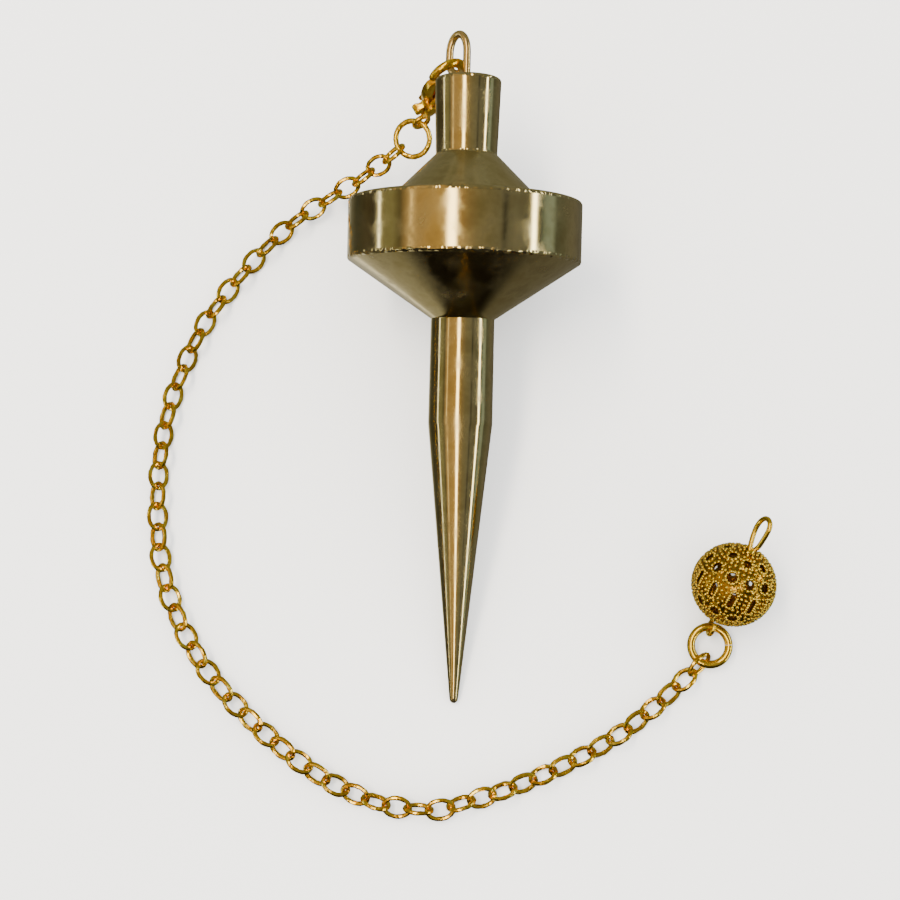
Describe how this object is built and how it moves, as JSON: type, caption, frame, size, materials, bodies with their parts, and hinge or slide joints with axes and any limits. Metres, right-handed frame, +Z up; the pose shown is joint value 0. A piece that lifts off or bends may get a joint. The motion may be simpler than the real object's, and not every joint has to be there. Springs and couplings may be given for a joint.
{
  "type": "pendulum pendant",
  "caption": "Turned brass bob with a drum and a long point, hung by a lobster clasp from a cable chain that ends in a filigree ball.",
  "frame": {"origin": "on the floor that the pendant lies on, below the middle of its box", "axes": "+Z up; +Y along the lying bob from its point to its neck, leaned up by the drum; +X across it, towards the ball"},
  "size_m": [0.0739, 0.0892, 0.0278],
  "materials": {
    "bob_brass": "polished",
    "eye_wire": "polished",
    "clasp_gold": "polished",
    "ring_gold": "polished",
    "chain_gold": "polished",
    "ball_gold": "satin"
  },
  "bodies": {
    "pendant": {"bob": "bob_brass", "bob_eye": "eye_wire", "clasp_body": "clasp_gold", "clasp_rivet": "clasp_gold", "clasp_ring": "ring_gold", "chain": "chain_gold", "bead_ring": "ring_gold", "bead": "ball_gold", "bead_pin": "ring_gold"},
    "lever": {"clasp_lever": "clasp_gold"}
  },
  "joints": [
    {"name": "lever_hinge", "type": "hinge", "parent": "pendant", "child": "lever", "pos_m": [-0.00332, 0.03858, 0.01234], "axis": [-0.4572, 0.8851, -0.0868], "range_deg": [0, 16], "stiffness_Nm_per_rad": 0.008, "springref_deg": -25.21}
  ]
}
